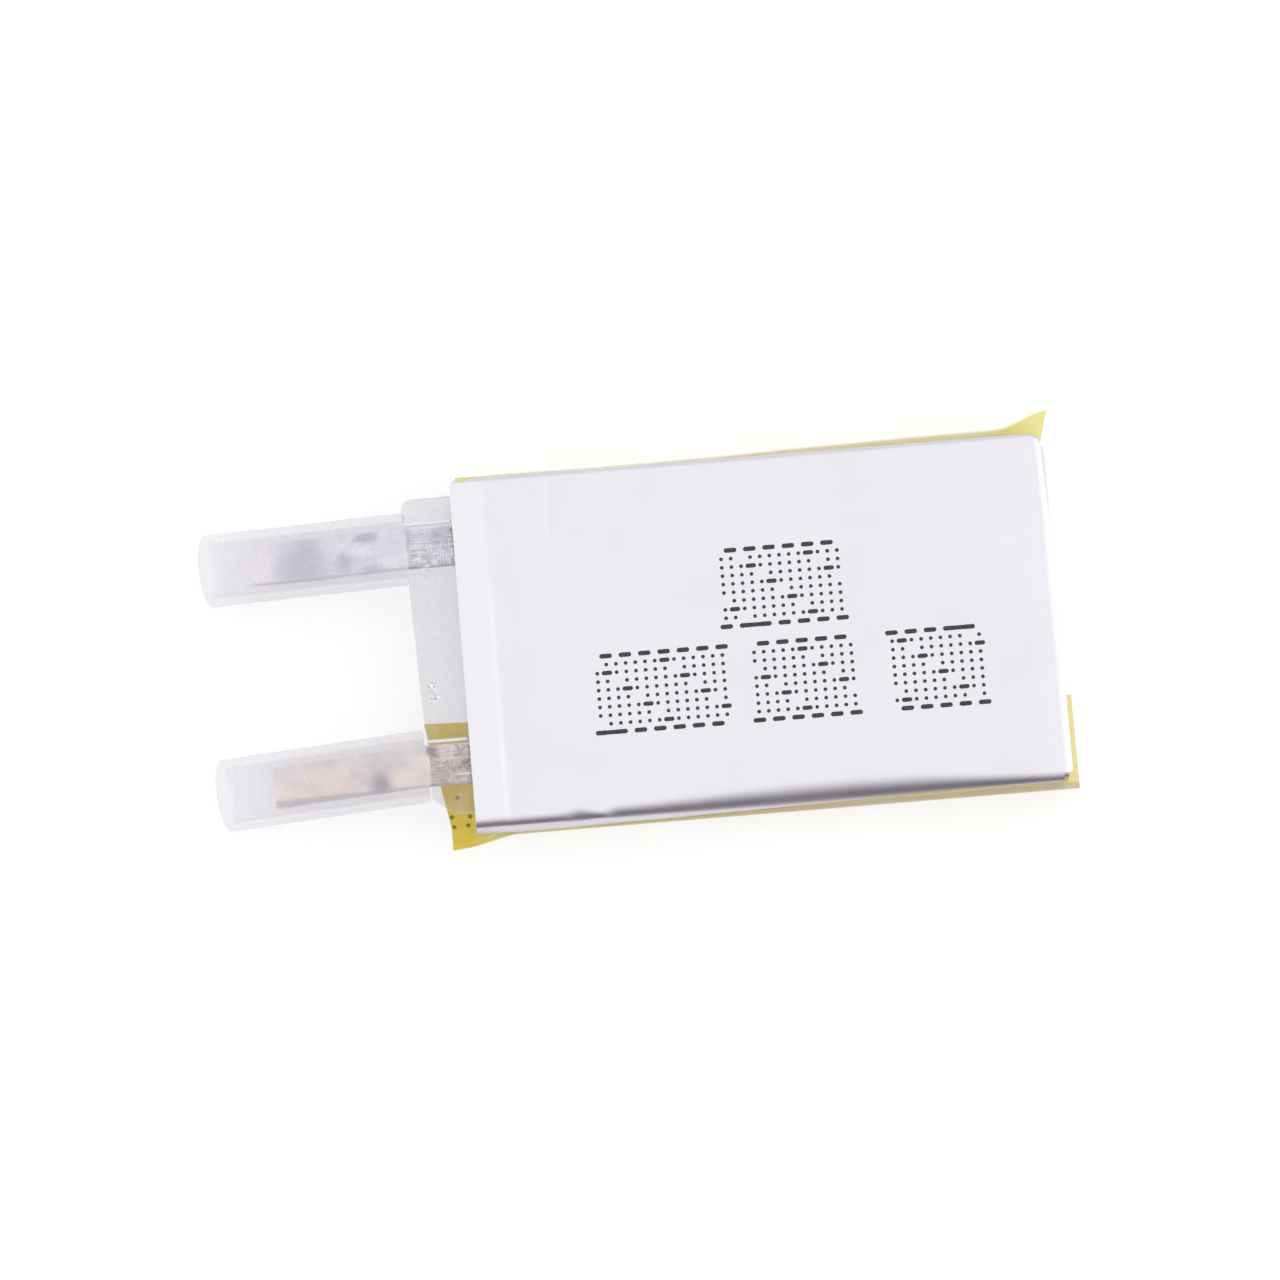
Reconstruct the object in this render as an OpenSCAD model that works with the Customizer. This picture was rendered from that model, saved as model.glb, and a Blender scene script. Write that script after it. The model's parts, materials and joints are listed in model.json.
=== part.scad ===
// Small lithium polymer pouch cell: a wound electrode roll in an aluminium laminate pouch, with
// two tabs in a sealing film, a soft sleeve over each tab and a yellow tape along each side.
// Millimetres. The origin is the middle of the plane the cell rests on. +Z is up, out of the
// flat cover, and +X runs away from the tabs. The positive side is +Y.

/* [Pouch] */
// Length of the laminate, from the cut edge at the tabs to the folded end
pouch_l = 21.7; // [18:0.1:40]
// Width over the two folded side seals
pouch_w = 12.8; // [12.8:0.1:13.6]
// Thickness, from the bottom of the cup to the top of the cover
pouch_t = 2.95; // [2.9:0.01:3.2]
// Thickness of one laminate sheet
foil_t = 0.11; // [0.08:0.01:0.12]
// Length of the flat heat seal at the tab end
terrace_l = 1.5; // [1.3:0.1:2.5]
// Radius round the bottom edges of the cup
cup_edge_r = 0.6; // [0.3:0.05:0.8]
// Radius of the cup's upright corners
cup_corner_r = 0.6; // [0.3:0.05:0.8]
// Gap between the cup wall and the side seal folded down against it
seal_gap = 0.04; // [0.02:0.01:0.06]
// Height of the lower edge of the side seals above the cup's bottom face
seal_rise = 0.4; // [0.35:0.05:1]
// Outer radius of the laminate's fold at the closed end
fold_r = 0.35; // [0.2:0.05:0.5]

/* [Tabs] */
// Width of each tab strip
tab_w = 1.5; // [1:0.1:1.5]
// Thickness of each tab strip
tab_t = 0.07; // [0.05:0.01:0.08]
// Distance between the middles of the two tabs
tab_pitch = 8; // [6:0.1:8]
// Length of the positive tab beyond its bend
tab_free_l = 5.8; // [4:0.1:12]
// How much shorter than the positive tab the negative one is cut
negative_tab_cut = 0.3; // [0:0.1:1]
// Slope of both tabs below the horizontal, in degrees
tab_droop = 10; // [0:1:20]
// Slew of the negative tab away from the cell's long axis, in degrees
negative_slew = 2.2; // [0:0.1:3]

/* [Tab film] */
// Length of the sealing film across both tabs
film_w = 11.6; // [10.8:0.1:11.8]
// Thickness of each of the two film layers
film_t = 0.08; // [0.05:0.01:0.1]
// Length of film outside the laminate
film_out = 1.55; // [0.5:0.05:2]
// Length of film inside the cup
film_in = 0.35; // [0.1:0.05:0.4]
// Radius of the film's two outer corners
film_corner_r = 0.45; // [0.1:0.05:0.6]

/* [Sleeves] */
// Outer diameter of the soft sleeves
sleeve_d = 2.65; // [2.3:0.05:3]
// Wall of the sleeves
sleeve_wall = 0.3; // [0.15:0.05:0.3]
// Length of the sleeves
sleeve_l = 7.4; // [6.5:0.1:14]
// Distance from a tab's bend to the mouth of its sleeve
sleeve_gap = 0.13; // [0.13:0.01:1]
// Angle of the slanting cut at the outer end of the sleeves, in degrees
sleeve_cut = 2; // [0:1:20]

/* [Side tapes] */
// Thickness of the yellow tape
tape_t = 0.05; // [0.03:0.01:0.08]
// Width of the yellow tape
tape_w = 5; // [4.5:0.1:5.5]
// Outer radius of the tape round the pouch's lower edge
tape_edge_r = 0.35; // [0.2:0.05:0.4]
// Length of near tape past the tab end of the pouch
near_free_l = 1.55; // [0.5:0.05:1.6]
// Length of near tape past the folded end of the pouch
near_end_l = 0.3; // [0:0.1:0.5]
// Length over which the near tape's free corner comes away from the pouch
near_flare_l = 2.5; // [2:0.5:6]
// How far the near tape's free corner stands out from the side
near_flare = 0.4; // [0.1:0.1:0.8]
// Height the near tape reaches up the side, above its round turn, at the folded end
near_tape_h = 2.1; // [0.8:0.1:2.2]
// Height the far tape reaches up the side, above its round turn
far_tape_h = 2.3; // [1:0.1:2.5]
// How far the upper corner of the far tape leans past the folded end of the pouch
far_tip_l = 0.25; // [0:0.05:0.5]

/* [Winding] */
// Half turns in the wound roll
half_turns = 6; // [2:2:6]
// Radius of the innermost turn
core_r = 0.05; // [0.03:0.01:0.07]
// Thickness of each separator
separator_t = 0.02; // [0.01:0.005:0.02]
// Thickness of the positive electrode's aluminium foil
cathode_foil_t = 0.015; // [0.01:0.005:0.02]
// Thickness of the negative electrode's copper foil
anode_foil_t = 0.01; // [0.008:0.001:0.015]
// Length of the straight part of a turn
turn_flat = 9.5; // [9.5:0.01:9.55]
// Length of the separators along X
separator_l = 18.9; // [15:0.1:18.9]
// How far the separators stand past the negative electrode at each end
anode_inset = 0.3; // [0.2:0.05:0.6]
// How far the negative electrode stands past the positive one at each end
cathode_inset = 0.2; // [0.1:0.05:0.4]
// Length of tab welded inside the roll
weld_l = 6; // [3:0.5:12]
// Thickness of the thin tapes inside the pouch
inner_tape_t = 0.03; // [0.02:0.005:0.03]

/* [Hidden] */
$fn = 96;

// Ends of the pouch and of the cup
tab_end_x = -pouch_l / 2;
fold_end_x = pouch_l / 2;
cup_start_x = tab_end_x + terrace_l;
cup_l = fold_end_x - cup_start_x;
cup_mid_x = (fold_end_x + cup_start_x) / 2;
fold_x = fold_end_x - fold_r;
seal_l = fold_x - tab_end_x;

// Heights
cup_bottom_z = tape_t;
cover_top_z = cup_bottom_z + pouch_t;
cover_low_z = cover_top_z - foil_t;
film_stack_t = 2 * film_t + tab_t;
terrace_top_z = cover_low_z - film_stack_t;
tab_z = cover_low_z - film_t - tab_t / 2;
fold_z = cover_top_z - fold_r;
seal_low_z = cup_bottom_z + seal_rise;

// Side seals: two sheets folded down round the top edge of the cup
bend_r = 2 * foil_t + seal_gap;
cup_w = pouch_w - 2 * bend_r;
bend_z = cover_top_z - bend_r;

// Tabs
film_edge_x = tab_end_x - film_out;
film_inner_x = cup_start_x + film_in;
bend_offset = 0.09;
root_gap = 0.04;
hinge_x = film_edge_x - bend_offset;
tab_y = tab_pitch / 2;
riser_offset = 0.25;
riser_x = film_inner_x + riser_offset;
riser_r = 0.1;
tab_tape_overhang = 0.4;
tab_tape_margin = 0.1;
sleeve_reach = 1;

// Winding: offsets count outwards from the inside of a turn
coat_t = tab_t;
flat_y = turn_flat / 2;
o_cathode_in = separator_t;
o_cathode_foil = o_cathode_in + coat_t;
o_cathode_out = o_cathode_foil + cathode_foil_t;
o_separator_out = o_cathode_out + coat_t;
o_anode_in = o_separator_out + separator_t;
o_anode_foil = o_anode_in + coat_t;
o_anode_out = o_anode_foil + anode_foil_t;
pitch = o_anode_out + coat_t;
roll_up = core_r + (half_turns / 2 + 0.25) * pitch;
roll_down = core_r + (half_turns / 2 + 0.75) * pitch;
cavity_mid_z = (cup_bottom_z + foil_t + cover_low_z) / 2;
roll_z = cavity_mid_z + (roll_down - roll_up) / 2;
roll_end_gap = 0.24;
roll_start_x = fold_end_x - foil_t - roll_end_gap - separator_l;
last_arc = half_turns - 1;
foil_lead = tab_w + 1;
separator_lead = foil_lead + 1;
cathode_tail = 1;
anode_tail = 2;
separator_tail = 3.5;
termination_w = 6;
termination_inset = 3;
positive_weld_z = roll_z + pitch / 4 - core_r - o_cathode_in - coat_t / 2;
negative_weld_z = roll_z + pitch / 4 + core_r + o_anode_in + coat_t / 2;

// Side tapes
side_y = pouch_w / 2;
turn_y = side_y + tape_t - tape_edge_r;
turn_l = PI * tape_edge_r / 2;
near_slant = 0.7;
far_end_gap = 0.1;

// A 2D band between two radii, kept on one side of the vertical axis (side 1 or -1)
module half_ring(r_in, r_out, side) {
    intersection() {
        difference() {
            circle(r = r_out);
            circle(r = r_in);
        }
        translate([side > 0 ? 0 : -2 * r_out, -2 * r_out])
            square([2 * r_out, 4 * r_out]);
    }
}

// A 2D band between two radii, kept in the upper quarter on one side (side 1 or -1)
module quarter_ring(r_in, r_out, side) {
    intersection() {
        half_ring(r_in, r_out, side);
        translate([-2 * r_out, 0])
            square([4 * r_out, 2 * r_out]);
    }
}

// A 2D rectangle with four round corners
module round_rect(l, w, r) {
    square([l, w - 2 * r], center = true);
    square([l - 2 * r, w], center = true);
    for (x = [-1, 1], y = [-1, 1])
        translate([x * (l / 2 - r), y * (w / 2 - r)])
            circle(r = r);
}

// A 2D upright box, open-topped in use, with its two lower corners round
module tray_outline(w, h, r) {
    translate([-w / 2, r])
        square([w, h - r]);
    translate([r - w / 2, 0])
        square([w - 2 * r, h]);
    for (side = [-1, 1])
        translate([side * (w / 2 - r), r])
            circle(r = r);
}

// Extrudes a YZ outline along +X
module along_x(x_start, length) {
    translate([x_start, 0, 0])
        rotate([90, 0, 90])
            linear_extrude(length)
                children();
}

// Extrudes an XZ outline along Y, centred on y_mid
module along_y(y_mid, width) {
    translate([0, y_mid + width / 2, 0])
        rotate([90, 0, 0])
            linear_extrude(width)
                children();
}

// Solid of the drawn cup, shrunk on every side by inset, up to height top_z
module cup_block(inset, top_z) {
    low_z = cup_bottom_z + inset;
    intersection() {
        along_x(cup_start_x + inset, cup_l - 2 * inset)
            translate([0, low_z])
                tray_outline(cup_w - 2 * inset, top_z - low_z, cup_edge_r - inset);
        along_y(0, cup_w)
            translate([cup_mid_x, low_z])
                tray_outline(cup_l - 2 * inset, top_z - low_z, cup_edge_r - inset);
        translate([cup_mid_x, 0, 0])
            linear_extrude(2 * pouch_t)
                round_rect(cup_l - 2 * inset, cup_w - 2 * inset, cup_corner_r - inset);
    }
}

// The sharp corner that the round fold at the closed end takes off the cup
module fold_corner() {
    along_y(0, pouch_w)
        difference() {
            translate([fold_x, fold_z])
                square([2 * fold_r, 2 * fold_r]);
            translate([fold_x, fold_z])
                circle(r = fold_r - foil_t);
        }
}

// One side seal's sheet, as a YZ outline: a round bend and the flat part below it
module seal_sheet(r_in, side) {
    translate([side * cup_w / 2, bend_z])
        quarter_ring(r_in, r_in + foil_t, side);
    translate([side * (cup_w / 2 + r_in + foil_t / 2), (bend_z + seal_low_z) / 2])
        square([foil_t, bend_z - seal_low_z], center = true);
}

// The cup's sheet under the terrace: a shallow step down to make room for the film
module terrace_sheet() {
    step_y = film_w / 2;
    translate([-step_y, terrace_top_z - foil_t])
        square([film_w, foil_t]);
    for (side = [-1, 1]) {
        translate([side * (step_y + foil_t / 2), (cover_low_z + terrace_top_z - foil_t) / 2])
            square([foil_t, film_stack_t + foil_t], center = true);
        translate([side * (step_y + cup_w / 2) / 2, cover_low_z - foil_t / 2])
            square([cup_w / 2 - step_y, foil_t], center = true);
    }
}

// Space taken by the two film layers and the tabs
module film_block(z_low, height) {
    translate([film_edge_x, 0, z_low])
        linear_extrude(height) {
            translate([film_corner_r, -film_w / 2])
                square([film_inner_x - film_edge_x - film_corner_r, film_w]);
            translate([0, film_corner_r - film_w / 2])
                square([2 * film_corner_r, film_w - 2 * film_corner_r]);
            for (side = [-1, 1])
                translate([film_corner_r, side * (film_w / 2 - film_corner_r)])
                    circle(r = film_corner_r);
        }
}

// Flat cover sheet, folded down over both sides and round the closed end
module pouch_cover() {
    color("gainsboro") {
        along_x(tab_end_x, seal_l) {
            translate([-cup_w / 2, cover_low_z])
                square([cup_w, foil_t]);
            for (side = [-1, 1])
                seal_sheet(bend_r - foil_t, side);
        }
        intersection() {
            along_y(0, cup_w)
                translate([fold_x, fold_z])
                    quarter_ring(fold_r - foil_t, fold_r, 1);
            translate([cup_mid_x, 0, 0])
                linear_extrude(2 * pouch_t)
                    round_rect(cup_l, cup_w, cup_corner_r);
        }
    }
}

// Drawn cup that holds the roll, with its side seals and the sheet under the terrace
module pouch_cup() {
    color("silver") {
        difference() {
            cup_block(0, cover_low_z);
            cup_block(foil_t, cover_top_z);
            fold_corner();
            film_block(terrace_top_z, film_stack_t);
        }
        along_x(tab_end_x, seal_l)
            for (side = [-1, 1])
                seal_sheet(seal_gap, side);
        along_x(tab_end_x, terrace_l)
            terrace_sheet();
    }
}

module tab_film_top() {
    color("whitesmoke")
        film_block(cover_low_z - film_t, film_t);
}

// Lower film layer: it rises beside the tabs to meet the upper layer
module tab_film_bottom() {
    color("whitesmoke")
        difference() {
            film_block(terrace_top_z, film_t + tab_t);
            for (side = [-1, 1])
                translate([hinge_x, side * tab_y - tab_w / 2, tab_z - tab_t / 2])
                    cube([pouch_l, tab_w, 2 * tab_t]);
        }
}

// Tab inside the cell: a welded run in the roll, a riser, and the run out through the film.
// weld_z is the middle of the welded run.
module tab_root(side, weld_z) {
    rise = tab_z - weld_z;
    along_y(side * tab_y, tab_w) {
        translate([hinge_x + root_gap, tab_z - tab_t / 2])
            square([riser_x - riser_r - hinge_x - root_gap, tab_t]);
        translate([riser_x - riser_r, tab_z - riser_r])
            quarter_ring(riser_r - tab_t / 2, riser_r + tab_t / 2, 1);
        translate([riser_x - tab_t / 2, weld_z + riser_r])
            square([tab_t, rise - 2 * riser_r]);
        translate([riser_x + riser_r, weld_z + riser_r])
            rotate(180)
                quarter_ring(riser_r - tab_t / 2, riser_r + tab_t / 2, 1);
        translate([riser_x + riser_r, weld_z - tab_t / 2])
            square([roll_start_x + weld_l - riser_x - riser_r, tab_t]);
    }
}

// Puts what is drawn along -X at the tab's bend, at the slope and slew of that tab
module at_bend(side, slew) {
    translate([hinge_x, side * tab_y, tab_z])
        rotate([0, 0, slew])
            rotate([0, -tab_droop, 0])
                children();
}

module tab_lead(side, slew, free_l) {
    at_bend(side, slew)
        translate([-free_l, -tab_w / 2, -tab_t / 2])
            cube([free_l - root_gap, tab_w, tab_t]);
}

// Soft tube over a tab, with a square mouth and a slanting outer end that is longest on top
module sleeve(side, slew) {
    at_bend(side, slew)
        difference() {
            translate([-sleeve_gap, 0, 0])
                rotate([0, -90, 0])
                    cylinder(d = sleeve_d, h = sleeve_l);
            translate([sleeve_reach, 0, 0])
                rotate([0, -90, 0])
                    cylinder(d = sleeve_d - 2 * sleeve_wall, h = sleeve_l + 3 * sleeve_reach);
            translate([-sleeve_gap - sleeve_l, 0, sleeve_d / 2])
                rotate([0, sleeve_cut, 0])
                    translate([-sleeve_l, -sleeve_d, -2 * sleeve_d])
                        cube([sleeve_l, 2 * sleeve_d, 4 * sleeve_d]);
        }
}

module positive_tab_root() {
    color("lightsteelblue")
        tab_root(1, positive_weld_z);
}

module negative_tab_root() {
    color("rosybrown")
        tab_root(-1, negative_weld_z);
}

module positive_tab_lead() {
    color("lightsteelblue")
        tab_lead(1, 0, tab_free_l);
}

module negative_tab_lead() {
    color("rosybrown")
        tab_lead(-1, negative_slew, tab_free_l - negative_tab_cut);
}

module positive_sleeve() {
    color("ghostwhite", 0.5)
        sleeve(1, 0);
}

module negative_sleeve() {
    color("ghostwhite", 0.5)
        sleeve(-1, negative_slew);
}

// The part of a side tape round the lower edge of the near side, from x_start to x_end
module tape_turn(x_start, x_end) {
    along_x(x_start, x_end - x_start)
        translate([-turn_y, tape_edge_r])
            mirror([0, 1])
                quarter_ring(tape_edge_r - tape_t, tape_edge_r, -1);
}

// The part of a side tape that lies on the near side, from its XZ outline
module tape_wall(points) {
    along_y(-side_y - tape_t / 2, tape_t)
        polygon(points);
}

// It turns further up the side towards the folded end. At the tab end it only lies under the
// cell, runs on past the pouch and has one corner that stands out from the side.
module near_side_tape() {
    start_x = tab_end_x - near_free_l;
    end_x = fold_end_x + near_end_l;
    wall_x = start_x + near_flare_l;
    flat_w = tape_w - turn_l - near_tape_h;
    color("goldenrod") {
        linear_extrude(tape_t)
            polygon([
                [start_x, tape_w - side_y - near_flare],
                [start_x + near_slant, -side_y - near_flare],
                [wall_x, -turn_y],
                [end_x, -turn_y],
                [end_x, flat_w - turn_y]
            ]);
        tape_turn(wall_x, end_x);
        tape_wall([
            [wall_x, tape_edge_r],
            [end_x, tape_edge_r],
            [end_x, tape_edge_r + near_tape_h]
        ]);
    }
}

// It covers most of the far side, and the cut at its folded end slants outwards
module far_side_tape() {
    end_x = fold_end_x - far_end_gap;
    flat_w = tape_w - turn_l - far_tape_h;
    color("khaki")
        mirror([0, 1, 0]) {
            translate([tab_end_x, -turn_y, 0])
                cube([end_x - tab_end_x, flat_w, tape_t]);
            tape_turn(tab_end_x, end_x);
            tape_wall([
                [tab_end_x, tape_edge_r],
                [end_x, tape_edge_r],
                [fold_end_x + far_tip_l, tape_edge_r + far_tape_h],
                [tab_end_x, tape_edge_r + far_tape_h]
            ]);
        }
}

// One arc of a turn: even arcs close the roll at +Y and odd ones at -Y
function arc_side(k) = k % 2 == 0 ? 1 : -1;
function arc_r(k) = core_r + k * pitch / 2;

// A layer of the roll as a YZ outline: half circles joined by flats, on two centres half a
// pitch apart. offset_r and thick place it within a turn, first and last are its end arcs,
// lead is its straight start and tail its straight end.
module wound_layer(offset_r, thick, first, last, lead, tail) {
    for (k = [first : last]) {
        side = arc_side(k);
        r = arc_r(k) + offset_r;
        straight = k == last ? tail : turn_flat;
        translate([side * flat_y, side * pitch / 4])
            half_ring(r, r + thick, side);
        translate([side * (flat_y - straight / 2), side * (pitch / 4 + r + thick / 2)])
            square([straight, thick], center = true);
    }
    if (lead > 0) {
        side = arc_side(first);
        mid_r = arc_r(first) + offset_r + thick / 2;
        translate([side * (flat_y - lead / 2), side * (pitch / 4 - mid_r)])
            square([lead, thick], center = true);
    }
}

// A wound layer at its full length, shortened by inset at each end of the roll
module roll_layer(inset, offset_r, thick, first, last, lead, tail) {
    along_x(roll_start_x + inset, separator_l - 2 * inset)
        translate([0, roll_z])
            wound_layer(offset_r, thick, first, last, lead, tail);
}

module inner_separator() {
    color("white")
        roll_layer(0, 0, separator_t, 0, last_arc, separator_lead, separator_tail);
}

module outer_separator() {
    color("white")
        roll_layer(0, o_separator_out, separator_t, 0, last_arc, foil_lead, separator_tail);
}

// The foils start bare, where the tabs are welded in place of the inner coat
module cathode_foil() {
    color("lightgray")
        roll_layer(anode_inset + cathode_inset, o_cathode_foil, cathode_foil_t,
                   0, last_arc, foil_lead, cathode_tail);
}

module cathode_coat_inner() {
    color("dimgray")
        roll_layer(anode_inset + cathode_inset, o_cathode_in, coat_t,
                   0, last_arc, 0, cathode_tail);
}

module cathode_coat_outer() {
    color("dimgray")
        roll_layer(anode_inset + cathode_inset, o_cathode_out, coat_t,
                   0, last_arc, 0, cathode_tail);
}

module anode_foil() {
    color("peru")
        roll_layer(anode_inset, o_anode_foil, anode_foil_t, 1, last_arc, foil_lead, anode_tail);
}

module anode_coat_inner() {
    color("darkslategray")
        roll_layer(anode_inset, o_anode_in, coat_t, 1, last_arc, 0, anode_tail);
}

module anode_coat_outer() {
    color("darkslategray")
        roll_layer(anode_inset, o_anode_out, coat_t, 1, last_arc, foil_lead, anode_tail);
}

// Tape that holds the outer end of the winding down
module termination_tape() {
    color("seagreen")
        translate([roll_start_x + termination_inset, -flat_y, roll_z - roll_down - inner_tape_t])
            cube([separator_l - 2 * termination_inset, termination_w, inner_tape_t]);
}

// Insulating tape on the inner face of a tab's riser, between it and the end of the roll
module tab_tape(side, weld_z) {
    low_z = weld_z + riser_r + tab_tape_margin;
    width = tab_w + 2 * tab_tape_overhang;
    translate([riser_x + tab_t / 2, side * tab_y - width / 2, low_z])
        cube([inner_tape_t, width, tab_z - riser_r - low_z]);
}

module positive_tab_tape() {
    color("orange")
        tab_tape(1, positive_weld_z);
}

module negative_tab_tape() {
    color("orange")
        tab_tape(-1, negative_weld_z);
}

pouch_cover();
pouch_cup();
tab_film_top();
tab_film_bottom();
positive_tab_root();
positive_tab_lead();
negative_tab_root();
negative_tab_lead();
positive_sleeve();
negative_sleeve();
near_side_tape();
far_side_tape();
inner_separator();
outer_separator();
cathode_foil();
cathode_coat_inner();
cathode_coat_outer();
anode_foil();
anode_coat_inner();
anode_coat_outer();
termination_tape();
positive_tab_tape();
negative_tab_tape();
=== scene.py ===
"""Looks for the pouch cell: laminate, sealing film, tabs, sleeves, tapes and a generic dot print.

Lengths are in millimetres in this script and turned into metres when a mesh is made.
"""

import json
import math

import bmesh
import bpy
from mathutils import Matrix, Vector
from mathutils.noise import noise

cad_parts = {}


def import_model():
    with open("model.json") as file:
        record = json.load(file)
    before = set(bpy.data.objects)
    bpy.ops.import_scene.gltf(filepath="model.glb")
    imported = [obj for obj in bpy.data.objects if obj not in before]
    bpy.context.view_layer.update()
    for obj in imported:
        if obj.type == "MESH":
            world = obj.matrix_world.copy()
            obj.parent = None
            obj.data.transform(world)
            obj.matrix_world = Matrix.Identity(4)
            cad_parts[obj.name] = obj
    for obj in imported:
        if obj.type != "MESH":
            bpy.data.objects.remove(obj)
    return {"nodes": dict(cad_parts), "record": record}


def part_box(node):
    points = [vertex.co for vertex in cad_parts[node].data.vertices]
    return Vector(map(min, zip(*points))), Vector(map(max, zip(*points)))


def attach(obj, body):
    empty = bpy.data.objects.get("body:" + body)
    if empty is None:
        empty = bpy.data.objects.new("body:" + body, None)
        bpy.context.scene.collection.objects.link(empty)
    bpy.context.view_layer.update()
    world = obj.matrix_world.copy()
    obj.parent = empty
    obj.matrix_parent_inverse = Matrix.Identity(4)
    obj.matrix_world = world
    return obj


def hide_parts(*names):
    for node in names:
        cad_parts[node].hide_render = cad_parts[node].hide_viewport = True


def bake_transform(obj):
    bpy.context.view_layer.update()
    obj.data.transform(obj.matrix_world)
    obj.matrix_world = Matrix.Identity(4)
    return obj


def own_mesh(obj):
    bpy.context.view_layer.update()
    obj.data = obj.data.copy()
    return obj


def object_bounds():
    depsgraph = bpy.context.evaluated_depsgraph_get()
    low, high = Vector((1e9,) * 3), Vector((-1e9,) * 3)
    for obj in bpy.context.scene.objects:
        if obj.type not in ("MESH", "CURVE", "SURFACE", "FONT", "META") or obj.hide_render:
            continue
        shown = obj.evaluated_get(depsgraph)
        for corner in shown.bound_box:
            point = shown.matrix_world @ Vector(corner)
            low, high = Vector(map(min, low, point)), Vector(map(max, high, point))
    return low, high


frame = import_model()
cad_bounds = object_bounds()

MM = 0.001


def box_mm(node):
    """Lowest and highest corner of a CAD node, in millimetres."""
    low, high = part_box(node)
    return low / MM, high / MM


def joint(name):
    """The record's entry for one joint."""
    return next(j for j in frame["record"]["behaviour"]["joints"] if j["name"] == name)


# ---------------------------------------------------------------- sizes
# Places come from the CAD nodes; thicknesses are those of the sheets they are made of.

COVER_LOW, COVER_HIGH = box_mm("pouch_cover")
CUP_LOW = box_mm("pouch_cup")[0]
FILM_LOW, FILM_HIGH = box_mm("tab_film_top")
FILM_UNDER_Z = box_mm("tab_film_bottom")[0].z
NEAR_LOW, NEAR_HIGH = box_mm("near_side_tape")
FAR_LOW, FAR_HIGH = box_mm("far_side_tape")

SHEET_T = 0.11
FILM_T = FILM_HIGH.z - FILM_LOW.z
TAPE_T = CUP_LOW.z
SEAL_GAP = 0.04
TAB_T = 0.07
TAB_HALF_W = 0.75
TAB_Y = joint("positive_tab_bend")["pos_m"][1] / MM
SLEEVE_R = 2.65 / 2
SLEEVE_WALL = 0.30
SLEEVE_L = 7.4

TAB_END_X = COVER_LOW.x + 0.06
NOSE_X = COVER_HIGH.x - 0.04
TOP_Z = COVER_HIGH.z
SIDE_Y = COVER_HIGH.y
SEAL_LOW_Z = COVER_LOW.z
BEND_R = 2 * SHEET_T + SEAL_GAP
CUP_SIDE_Y = SIDE_Y - BEND_R
NOSE_R = 0.35
SEAL_END_X = NOSE_X - NOSE_R + 0.18
CUP_EDGE_R = 0.6
CUP_CORNER_R = 0.6
NOSE_CORNER_R = 0.16
CUP_START_X = FILM_HIGH.x - 0.35
SEAL_EDGE_X = CUP_START_X - 0.26
FILM_EDGE_X = FILM_LOW.x
FILM_SIDE_Y = FILM_HIGH.y


# ---------------------------------------------------------------- small maths

def mix(a, b, t):
    """The value a share t of the way from a to b."""
    return a + (b - a) * t


def smooth(start, end, value):
    """0 before start, 1 after end and a smooth step between them."""
    t = ramp(start, end, value)
    return t * t * (3 - 2 * t)


def ramp(start, end, value):
    """0 before start, 1 after end and a straight run between them."""
    return max(0.0, min(1.0, (value - start) / (end - start)))


def bump(centre, width, value):
    """A bell of height 1."""
    return math.exp(-((value - centre) / width) ** 2)


def steps(start, end, count):
    """count + 1 evenly spaced values."""
    return [mix(start, end, i / count) for i in range(count + 1)]


def joined(*runs):
    """Runs of values one after another, where each starts at the value that ends the one before."""
    values = list(runs[0])
    for run in runs[1:]:
        values.extend(run[1:])
    return values


def rough(x, y, z, size):
    """Smooth noise from -1 to 1 with features of about the given size."""
    return noise(Vector((x / size, y / size, z / size)))


def side_lean(z):
    """How far the long sides tuck in towards the cell's lower edge."""
    return 0.07 * (1 - smooth(0.45, 1.8, z))


# ---------------------------------------------------------------- mesh building

SHARP_ANGLE = 35


class Builder:
    """Collects points in millimetres and faces for one object."""

    def __init__(self):
        self.points = []
        self.faces = []

    def grid(self, rows, keep=None, flip=False, round_rows=False, round_columns=False):
        """Adds rows of points. keep(i, j) says which faces are made; round_ joins the ends up."""
        base = len(self.points)
        width = len(rows[0])
        for row in rows:
            self.points.extend(row)
        for i in range(len(rows) if round_columns else len(rows) - 1):
            for j in range(width if round_rows else width - 1):
                if keep and not keep(i, j):
                    continue
                near = base + i * width
                far = base + (i + 1) % len(rows) * width
                k = (j + 1) % width
                face = (near + j, near + k, far + k, far + j)
                self.faces.append(face[::-1] if flip else face)

    def make(self, name, thickness=0.0, offset=-1.0):
        """Makes the object, gives a sheet its thickness and shades it smooth."""
        mesh = bpy.data.meshes.new(name)
        mesh.from_pydata([[c * MM for c in point] for point in self.points], [], self.faces)
        piece = bpy.data.objects.new(name, mesh)
        bpy.context.scene.collection.objects.link(piece)
        if thickness:
            solid = piece.modifiers.new("thickness", "SOLIDIFY")
            solid.thickness = thickness * MM
            solid.offset = offset
            solid.use_even_offset = True
            apply_modifiers(piece)
        clean(piece)
        shade_smooth(piece)
        return piece


def apply_modifiers(piece):
    """Puts the result of the piece's modifiers into its mesh."""
    graph = bpy.context.evaluated_depsgraph_get()
    mesh = bpy.data.meshes.new_from_object(piece.evaluated_get(graph))
    piece.modifiers.clear()
    piece.data = mesh


def clean(piece):
    """Drops unused points and turns every face outwards."""
    work = bmesh.new()
    work.from_mesh(piece.data)
    loose = [v for v in work.verts if not v.link_faces]
    bmesh.ops.delete(work, geom=loose, context="VERTS")
    bmesh.ops.recalc_face_normals(work, faces=work.faces)
    work.to_mesh(piece.data)
    work.free()


def shade_smooth(piece):
    """Smooth shading, with edges kept sharp where faces meet at more than SHARP_ANGLE degrees."""
    for polygon in piece.data.polygons:
        polygon.use_smooth = True
    piece.data.set_sharp_from_angle(angle=math.radians(SHARP_ANGLE))


# ---------------------------------------------------------------- laminate

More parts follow.
